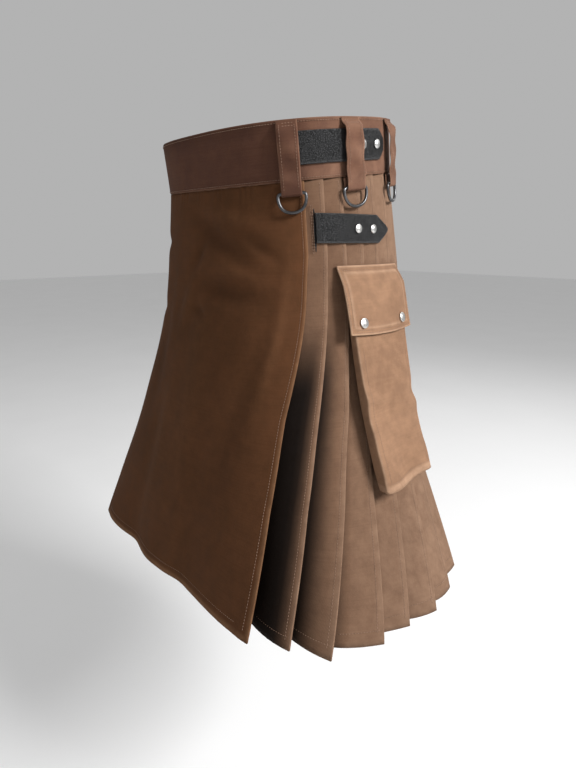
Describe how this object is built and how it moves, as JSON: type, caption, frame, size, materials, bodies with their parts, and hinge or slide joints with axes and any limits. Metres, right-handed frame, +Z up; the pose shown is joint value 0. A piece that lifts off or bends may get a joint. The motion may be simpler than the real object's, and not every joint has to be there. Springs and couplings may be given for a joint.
{
  "type": "gothic kilt",
  "caption": "Knee-length utility kilt with a pleated skirt, plain front apron, pleat-hung cargo pockets, leather straps and D-rings on its belt loops.",
  "frame": {"origin": "middle of the waistband, at half its height", "axes": "+Z up, the front of the garment faces -Y and the wearer's left is +X"},
  "size_m": [0.6248, 0.4648, 0.6267],
  "materials": {
    "twill": "heavy brown cotton twill, matt",
    "band_twill": "heavy brown cotton twill, two layers, matt",
    "pocket_twill": "heavy brown cotton twill, lighter where it catches the light, matt",
    "leather": "black grained leather, satin",
    "nickel": "bright nickel plate",
    "gunmetal": "dark gunmetal plate, glossy"
  },
  "bodies": {
    "kilt": {"waistband": "band_twill", "apron_top": "twill", "apron_under": "twill", "pleats_left": "twill", "waist_strap_left": "leather", "hip_strap_left": "leather", "pocket_bag_left": "pocket_twill", "pocket_flap_left": "pocket_twill", "belt_loop_left_front": "band_twill", "belt_loop_left_side": "band_twill", "belt_loop_left_back": "band_twill", "waist_stud_left_1": "nickel", "hip_stud_left_1": "nickel", "flap_snap_left_1": "nickel", "waist_stud_left_2": "nickel", "hip_stud_left_2": "nickel", "flap_snap_left_2": "nickel", "pleats_right": "twill", "waist_strap_right": "leather", "hip_strap_right": "leather", "pocket_bag_right": "pocket_twill", "pocket_flap_right": "pocket_twill", "belt_loop_right_front": "band_twill", "belt_loop_right_side": "band_twill", "belt_loop_right_back": "band_twill", "waist_stud_right_1": "nickel", "hip_stud_right_1": "nickel", "flap_snap_right_1": "nickel", "waist_stud_right_2": "nickel", "hip_stud_right_2": "nickel", "flap_snap_right_2": "nickel"},
    "ring_left_front": {"d_ring_left_front": "gunmetal"},
    "ring_left_side": {"d_ring_left_side": "gunmetal"},
    "ring_left_back": {"d_ring_left_back": "gunmetal"},
    "ring_right_front": {"d_ring_right_front": "gunmetal"},
    "ring_right_side": {"d_ring_right_side": "gunmetal"},
    "ring_right_back": {"d_ring_right_back": "gunmetal"}
  },
  "joints": [
    {"name": "ring_swing_left_front", "type": "hinge", "parent": "kilt", "child": "ring_left_front", "pos_m": [0.14253, -0.09611, -0.06117], "axis": [-0.69, -0.7184, -0.0882], "range_deg": [0, 120]},
    {"name": "ring_swing_left_side", "type": "hinge", "parent": "kilt", "child": "ring_left_side", "pos_m": [0.17331, -0.01327, -0.051], "axis": [-0.0506, -0.9913, -0.1217], "range_deg": [0, 120]},
    {"name": "ring_swing_left_back", "type": "hinge", "parent": "kilt", "child": "ring_left_back", "pos_m": [0.1628, 0.07452, -0.04022], "axis": [0.3837, -0.9166, -0.1125], "range_deg": [0, 120]},
    {"name": "ring_swing_right_front", "type": "hinge", "parent": "kilt", "child": "ring_right_front", "pos_m": [-0.16273, -0.06424, -0.05726], "axis": [-0.3964, 0.9112, 0.1119], "range_deg": [0, 120]},
    {"name": "ring_swing_right_side", "type": "hinge", "parent": "kilt", "child": "ring_right_side", "pos_m": [-0.17309, 0.02221, -0.04664], "axis": [0.0387, 0.9918, 0.1218], "range_deg": [0, 120]},
    {"name": "ring_swing_right_back", "type": "hinge", "parent": "kilt", "child": "ring_right_back", "pos_m": [-0.14243, 0.10581, -0.03638], "axis": [0.6792, 0.7285, 0.0895], "range_deg": [0, 120]}
  ]
}
